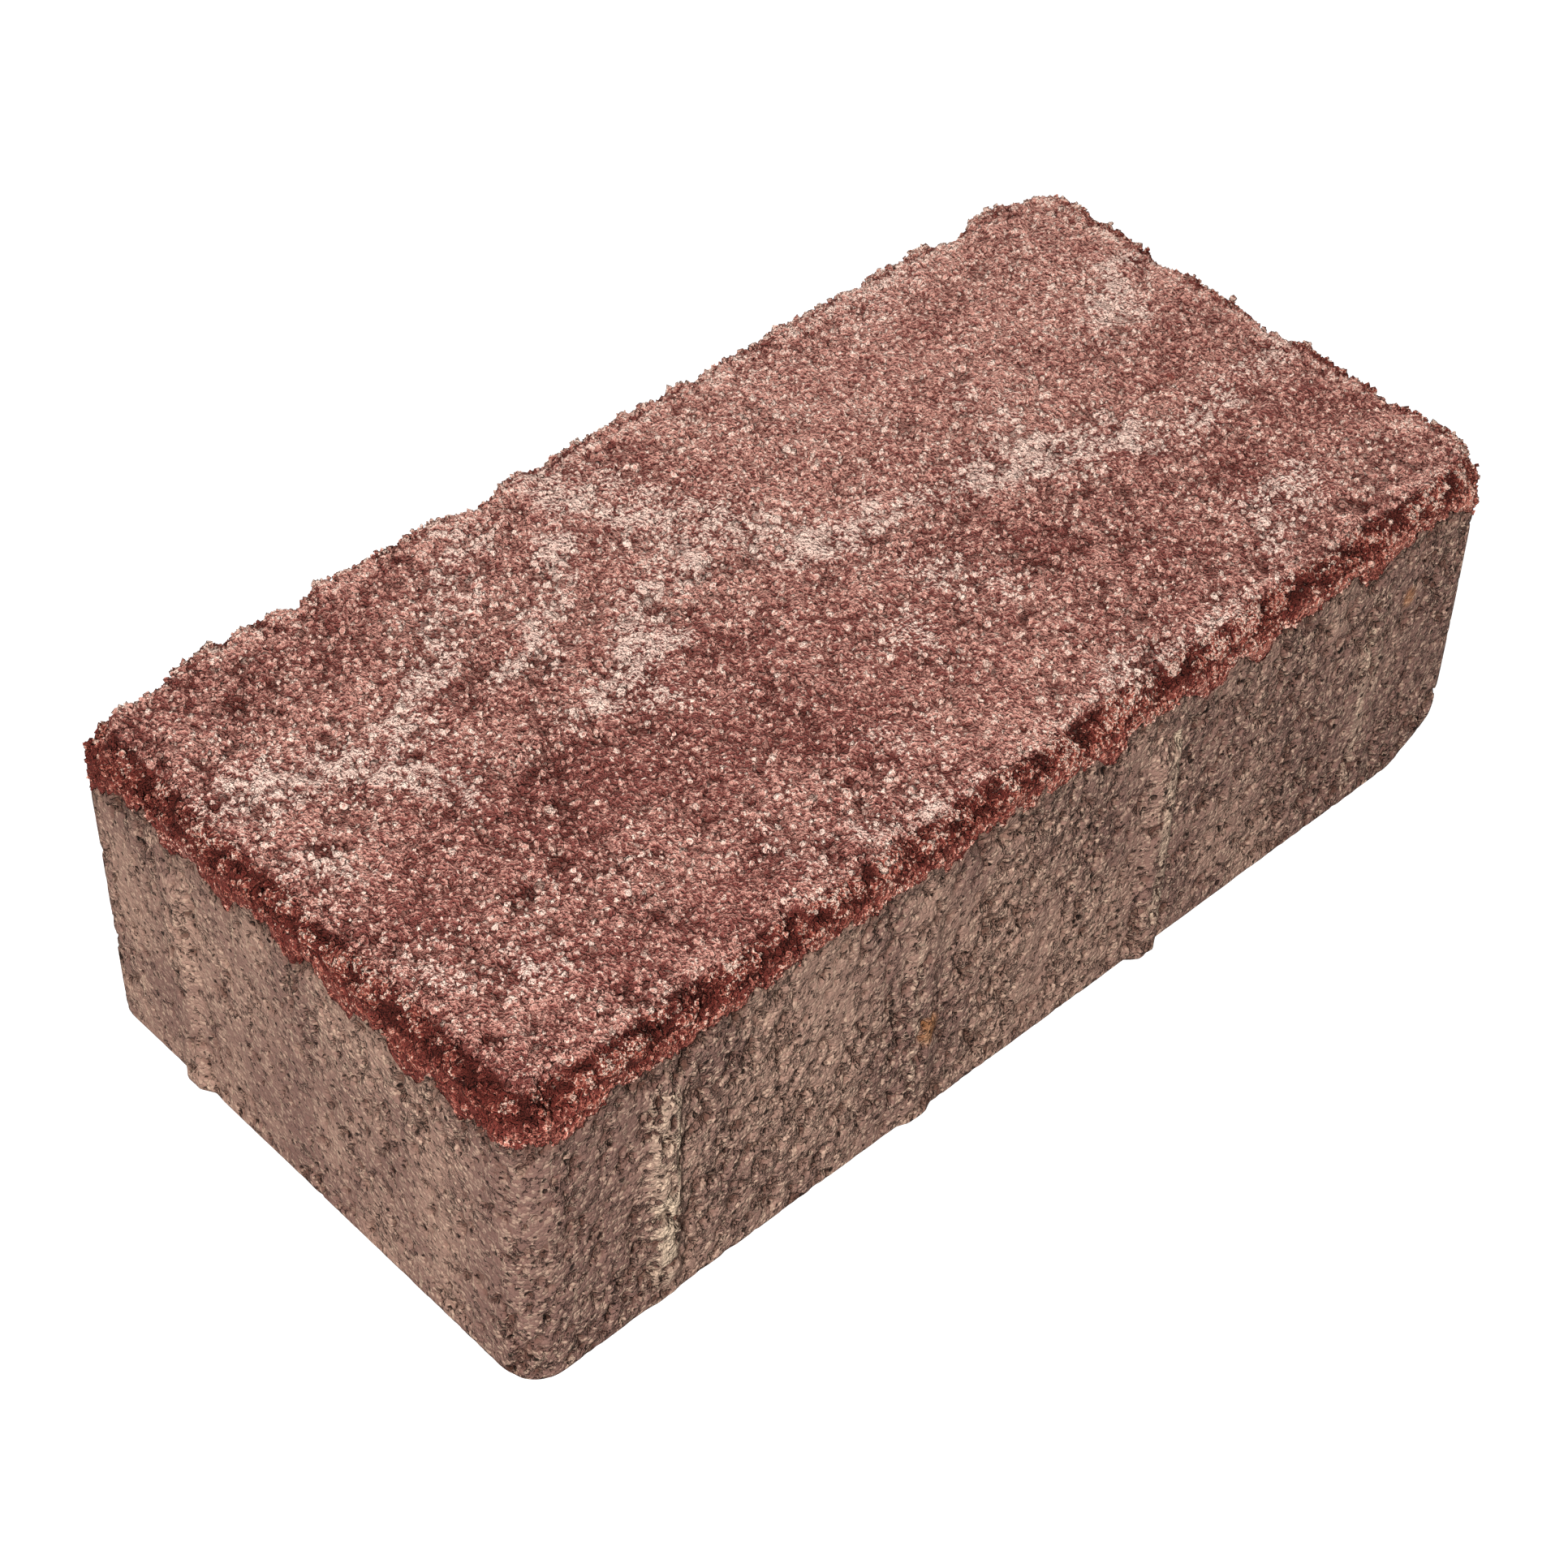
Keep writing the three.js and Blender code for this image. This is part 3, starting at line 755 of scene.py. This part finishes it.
facing_at = np.concatenate([rim_at, face_inner])
face_normal = np.tile((0.0, 0.0, 1.0), (len(face_inner), 1))
facing_normal = np.concatenate([rim_normal, face_normal])
edge_gap = np.minimum(HALF_LENGTH - np.abs(face_inner[:, 0]), HALF_WIDTH - np.abs(face_inner[:, 1]))
facing_wear = all_over(
    0.2 + 0.3 * band_share,
    0.15 + 0.7 * np.sin(math.pi * arris_share),
    0.3 * (1 - smooth(edge_gap + 1.5 * drift(face_inner, 5, 194), 4, 11)),
)
on_band = all_over(1, 0, 0)
on_side = all_over(1, 1 - smooth(arris_share, 0.05, 0.65), 0)
up_arris = all_over(0, arris_share, 1)
facing_chip = chips_at(facing_at)
facing_height, facing_pit = face_relief(facing_at, facing_wear, facing_chip)
facing_height = np.where(on_band, 0.7 * facing_height + 0.1, facing_height)
facing_points = facing_at + facing_normal * facing_height[:, None]

# Nothing stands out of the mould, and the first row is the joint's own.
facing_points[:, 2] = np.minimum(facing_points[:, 2], HEIGHT)
rim_points = facing_points[:len(rim_at)]
beyond = ((rim_points - rim_at)[:, :2] * rim_outward).sum(-1) + rim_out[:, 0]
rim_points[:, :2] -= rim_outward * np.maximum(beyond, 0)[:, None]
facing_points[:columns] = joint_row
facing_faces = [
    lap_faces(rim_rows),
    np.stack([face_index[:-1, :-1], face_index[1:, :-1], face_index[1:, 1:],
              face_index[:-1, 1:]], -1).reshape(-1, 4),
    fan_faces(len(facing_points), ahead, around),
]

# What the colour follows: painted shade in the open places between grains, darker the lower they
# lie and less of it towards the right and the back; painted shade in pits and troughs, with the
# colour of chips and rubbed places; the broken inside of the mix; and how far a grain's own tone is
# off, here painted light and shade by how high the arris stands, lighter on its ridges and darker
# in its hollows, and lower on the side band.
facing_x, facing_y, _ = facing_at.T
to_far_corner = facing_x / HALF_LENGTH + facing_y / HALF_WIDTH
open_share = 1 - 0.45 * smooth(to_far_corner, -0.6, 1.4)
# Painted shade between the grains: the lower the face lies, the darker.
gap = smooth(-facing_height - 0.5 * facing_chip, 0.25, 1.1) * open_share * (1 - on_band)
# Painted shade in pits and troughs, which take the darker chip tones with the real chips and rubbed
# places.
trough_shade = smooth(-facing_height, 1.3, 2.4)
rubbed = smooth(mottle(facing_at, (1, 5, 221), (0.7, 2.5, 222)), 0.0, 0.8)
pit_shade_and_wear = np.maximum(np.maximum(facing_pit, 0.6 * trough_shade), 0.6 * facing_chip * (0.3 + 0.7 * rubbed))
pit_shade_and_wear = np.maximum(pit_shade_and_wear, 0.6 * rubbed * facing_wear)
patch = mottle(facing_at, (0.8, 11, 191), (0.9, 5, 192)) + 0.3 * (facing_x / 100 + facing_y / 50)
patch = patch + 0.5 - 1.8 * strokes(facing_at, DARK_PLACES) - 1.6 * smooth(-facing_x, 92, 97)
raw = smooth(facing_wear + 0.12 * drift(facing_at, 4, 193), 0.25, 0.6)
raw = raw * (1 - 0.4 * smooth(up_arris, 0.7, 1.0))
raw = raw * (1 - 0.6 * smooth(facing_y, 35, 47) * smooth(up_arris, 0.2, 0.5))
# Painted light and shade by height on the worn rim: lighter ridges, darker hollows.
crest_light_and_shade = 2 * smooth(facing_height + 0.3 * facing_chip, -1.3, 0.2) - 1
crest_light_and_shade = (0.9 * crest_light_and_shade - 0.1) * smooth(facing_wear, 0.1, 0.4) - 0.35 * on_side
shared_fields = {"bloom": bloom_at(facing_at), "pit_shade_and_wear": pit_shade_and_wear, "raw": raw, "side": on_side,
                 "patch": patch}

# Reds of the face, the broken inside, the side band and the chips. The chip tones also stand for
# painted shade in pits and troughs, and the dark of the gaps is painted shade.
FACE_TONES = [srgb(129, 71, 64), srgb(211, 153, 138), srgb(250, 214, 195)]
INNER_TONES = [srgb(111, 43, 36), srgb(192, 103, 84), srgb(252, 214, 194)]
SIDE_TONES = [srgb(112, 46, 38), srgb(195, 107, 87), srgb(246, 200, 178)]
CHIP_TONES = [srgb(118, 47, 37), srgb(188, 106, 86)]
BLOOM_PALE = srgb(251, 219, 203)
GAP_SHADE_DARK = srgb(78, 32, 26)


def facing_concrete():
    """Finish of the facing and its grains: three tones of red by fine and clumped noise and by
    painted light and shade on the arris, deeper ones where the mix is broken, chipped or on the
    side, the chip tones also as painted shade in pits and troughs, bloom on what stands up, and
    gaps darkened as painted shade."""
    red = Shader("red_facing_concrete")
    clump = red.noise(1.3, 3.0, 0.6)
    fine = red.noise(0.5, 2.0, 0.55)
    gap = red.field("gap")
    raw = red.field("raw")
    shade = (clump - 0.5) * 3.0 + (fine - 0.5) * (3.6 + raw * 3.0)
    # Each point's own tone, which on the worn rim is also painted light and shade by height.
    shade = shade + red.field("patch") * 0.26 + red.field("tone_and_height_shade")
    bloom = (shade + red.field("bloom") * 1.7 - gap * 1.2).step(0.3, 1.5)
    low, middle, high = FACE_TONES
    face = red.mix(shade.step(-1.1, 0.0), low, middle)
    face = red.coats(face, (shade.step(0.0, 1.1), high), (bloom * 0.8, BLOOM_PALE))
    low, middle, high = INNER_TONES
    inner = red.mix(shade.step(-1.0, 0.3), low, middle)
    inner = red.mix(shade.step(0.0, 0.7) * 0.9, inner, high)
    low, middle, high = SIDE_TONES
    side = red.mix(shade.step(-1.1, 0.3), low, middle)
    side = red.mix(shade.step(0.1, 0.8) * 0.8, side, high)
    chipped = red.mix(shade.step(-0.9, 0.4), *CHIP_TONES)
    # Painted shade: pits and troughs take the chip tones, and the gaps between grains go dark.
    colour = red.coats(
        face,
        (raw * 0.8, inner),
        (red.field("side") * 0.7, side),
        (red.field("pit_shade_and_wear") * 0.5, chipped),
        (gap * 0.9, GAP_SHADE_DARK),
    )
    return red.finish(colour, 0.9, (clump * 1.3 + fine * 1.5) * (1 + raw * 0.7), 1.2)


red_material = facing_concrete()
facing_fields = {**shared_fields, "tone_and_height_shade": crest_light_and_shade - 0.6, "gap": gap}
facing = make_piece(
    "facing_mix", np.concatenate([facing_points, [joint_middle]]), facing_faces, red_material,
    {name: np.append(values, 0) for name, values in facing_fields.items()},
)
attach(facing, "root")
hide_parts("paving_stone")

# ---- Standing grains ------------------------------------------------------------------------
# The sand of the facing mix: broken grains of about a millimetre, half bedded in the cement film
# of the wearing face and the arris, coated by it, and open to the dark between them.

GRAIN_STEP = 0.92
ARRIS_GRAIN_STEP = 0.85 * GRAIN_STEP
ARRIS_GRAIN_ROWS = 15
COARSE_SHARE = 0.33
COARSE_RADIUS = 0.52
FINER_RADIUS = (0.42, 0.62)
ARRIS_RADIUS = 0.35
RADIUS_SPREAD = 0.5
CORNER_PUSH = (0.6, 1.3)
STRETCH = (0.7, 1.1)
SINK = (-0.5, 0.7)
SLIDE = (-0.25, 0.25)
random = np.random.default_rng(7)


def sown(indices, along, across):
    """One place at random from each block of a grid of points that is cut into this many."""
    row = ((np.arange(along)[:, None] + random.random((along, across)))
           * indices.shape[0] / along).astype(int)
    column = ((np.arange(across) + random.random((along, across)))
              * indices.shape[1] / across).astype(int)
    return indices[row, column].ravel()


def random_turns(count):
    """Rotation matrices, evenly spread: the matrix of a random unit quaternion."""
    turn = random.normal(size=(4, count))
    w, x, y, z = turn / np.linalg.norm(turn, axis=0)
    return np.stack([
        1 - 2 * (y * y + z * z), 2 * (x * y - w * z), 2 * (x * z + w * y),
        2 * (x * y + w * z), 1 - 2 * (x * x + z * z), 2 * (y * z - w * x),
        2 * (x * z - w * y), 2 * (y * z + w * x), 1 - 2 * (x * x + y * y),
    ], -1).reshape(-1, 3, 3)


def bedded_grains(name, bed, radius, spread, knots, sides):
    """Grains at points of the facing: a solid with its corners pushed in and out by chance,
    stretched and turned at random, sunk by a share of its radius, slid aside and kept inside the
    mould. Its lower side, and all of it where it lies deep, is darkened as painted shade, and
    spread is how far its tone varies."""
    count = len(bed)
    shape = knots * random.uniform(*CORNER_PUSH, (count, len(knots), 1))
    shape = shape * random.uniform(*STRETCH, (count, 1, 3)) * radius[:, None, None]
    shape = shape @ random_turns(count)
    sink = random.uniform(*SINK, count) * radius
    normal = facing_normal[bed]
    middle = facing_points[bed] - normal * sink[:, None]
    slide = random.uniform(*SLIDE, (count, 3))
    middle += slide - normal * (slide * normal).sum(-1)[:, None]
    points = shape + middle[:, None]
    points -= np.maximum(points.max(1) - (HALF_LENGTH, HALF_WIDTH, HEIGHT), 0)[:, None]
    points -= np.minimum(points.min(1) + (HALF_LENGTH, HALF_WIDTH, HEIGHT), 0)[:, None]
    # Painted shade on each grain's lower side and on grains that sit low.
    over = (shape * normal[:, None]).sum(-1) / radius[:, None]
    low = facing_height[bed] + 0.6 * facing_chip[bed] - sink
    gap = np.maximum(smooth(-over, -0.1, 0.8), smooth(-low, 0.5, 1.2)[:, None])
    tone_and_height_shade = crest_light_and_shade[bed] + open_share[bed] * random.uniform(-spread, spread, count)
    each = len(knots)
    fields = {"gap": (gap * open_share[bed][:, None]).ravel(), "tone_and_height_shade": np.repeat(tone_and_height_shade, each)}
    fields |= {field: np.repeat(values[bed], each) for field, values in shared_fields.items()}
    faces = (sides + each * np.arange(count)[:, None, None]).reshape(-1, sides.shape[1])
    piece = make_piece(name, points.reshape(-1, 3), [faces], red_material, fields)
    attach(piece, "root")
    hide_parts("paving_stone")


# A block of eight corners and six sides, and a rounder one with a peak on each side. The corners
# lie on a ball of radius 1.
block = np.array(list(itertools.product((-1, 1), repeat=3))) / math.sqrt(3)
block_sides = np.array([(0, 1, 3, 2), (4, 6, 7, 5), (0, 4, 5, 1), (2, 3, 7, 6), (0, 2, 6, 4),
                        (1, 5, 7, 3)])
peaks = block[block_sides].mean(1) * math.sqrt(3)
round_block = np.concatenate([block, peaks])
round_sides = np.array([
    (quad[k], quad[(k + 1) % 4], len(block) + peak)
    for peak, quad in enumerate(block_sides) for k in range(4)
])

face_bed = sown(face_index, round(2 * HALF_LENGTH / GRAIN_STEP), round(2 * HALF_WIDTH / GRAIN_STEP))
random.shuffle(face_bed)
arris_index = np.arange(columns, rim_rows * columns).reshape(-1, columns)
arris_bed = sown(arris_index, ARRIS_GRAIN_ROWS, round(PERIMETER / ARRIS_GRAIN_STEP))
coarse_bed, finer_bed = np.split(face_bed, [int(COARSE_SHARE * len(face_bed))])
coarse_radius = COARSE_RADIUS + RADIUS_SPREAD * random.random(len(coarse_bed))**2
finer_radius = random.uniform(*FINER_RADIUS, len(finer_bed))
arris_radius = ARRIS_RADIUS + RADIUS_SPREAD * random.random(len(arris_bed))**2
bedded_grains("coarse_grains", coarse_bed, coarse_radius, 0.8, round_block, round_sides)
bedded_grains("finer_grains", finer_bed, finer_radius, 0.8, block, block_sides)
bedded_grains("arris_crumbs", arris_bed, arris_radius, 1.0, block, block_sides)

# ---- Floor, light and camera ----------------------------------------------------------------
# A pale floor and a world that are plain white where they are seen and throw little light, a
# soft key lamp above the front left corner, and a weak fill low behind the right one.

WORLD_STRENGTH = 0.12


def seen_plainly(nodes):
    """1 for rays that should meet white: from the camera, off gloss and through glass."""
    camera_ray, glossy_ray, glass_ray = (
        nodes.add("ShaderNodeLightPath", {}, [], ray)
        for ray in ("Is Camera Ray", "Is Glossy Ray", "Is Transmission Ray")
    )
    return camera_ray.blend(glossy_ray).blend(glass_ray)


bpy.ops.mesh.primitive_plane_add(size=6, location=(0, 0, 0))
floor = bpy.context.object
floor.name = "floor"
paint = Shader("floor_paint")
glow = paint.mix(seen_plainly(paint), (0, 0, 0, 1), (0.8, 0.8, 0.8, 1))
paint.feed(paint.surface.inputs["Base Color"], (0.35, 0.35, 0.35, 1))
paint.feed(paint.surface.inputs["Roughness"], 0.9)
paint.feed(paint.surface.inputs["Emission Color"], glow)
paint.feed(paint.surface.inputs["Emission Strength"], 1.0)
floor.data.materials.append(paint.material)

world = bpy.data.worlds.new("studio")
world.use_nodes = True
sky = Nodes(world.node_tree)
sky_light = sky.tree.nodes["Background"].inputs
sky_strength = sky.add("ShaderNodeMapRange", {},
                       {"Value": seen_plainly(sky), "To Min": WORLD_STRENGTH, "To Max": 1.0})
sky.feed(sky_light["Color"], (1, 1, 1, 1))
sky.feed(sky_light["Strength"], sky_strength)
bpy.context.scene.world = world


def soft_lamp(name, place, size, power):
    """Square area lamp at a place in metres, aimed at the middle of the stone's bed."""
    lamp = bpy.data.lights.new(name, "AREA")
    lamp.size = size
    lamp.energy = power
    holder = bpy.data.objects.new(name, lamp)
    holder.location = place
    inwards = -mathutils.Vector(place)
    holder.rotation_euler = inwards.to_track_quat("-Z", "Y").to_euler()
    bpy.context.scene.collection.objects.link(holder)


soft_lamp("key", (-0.81, -0.64, 1.04), 0.14, 35.5)
soft_lamp("fill", (0.95, 0.75, 0.2), 0.5, 7)

LENS = 78.304
SENSOR = 36.0
CAMERA_PLACE = (-0.268391, -0.268126, 0.397651)
CAMERA_TURNS = (44.794, -1.265, -43.173)
eye = bpy.data.cameras.new("camera")
eye.sensor_width = SENSOR
eye.lens = LENS
eye.clip_start = 0.01
eye.shift_y = 0.0018
camera = bpy.data.objects.new("camera", eye)
camera.location = CAMERA_PLACE
camera.rotation_euler = [math.radians(turn) for turn in CAMERA_TURNS]
bpy.context.scene.collection.objects.link(camera)
bpy.context.scene.camera = camera
bpy.context.scene.view_settings.view_transform = "Standard"
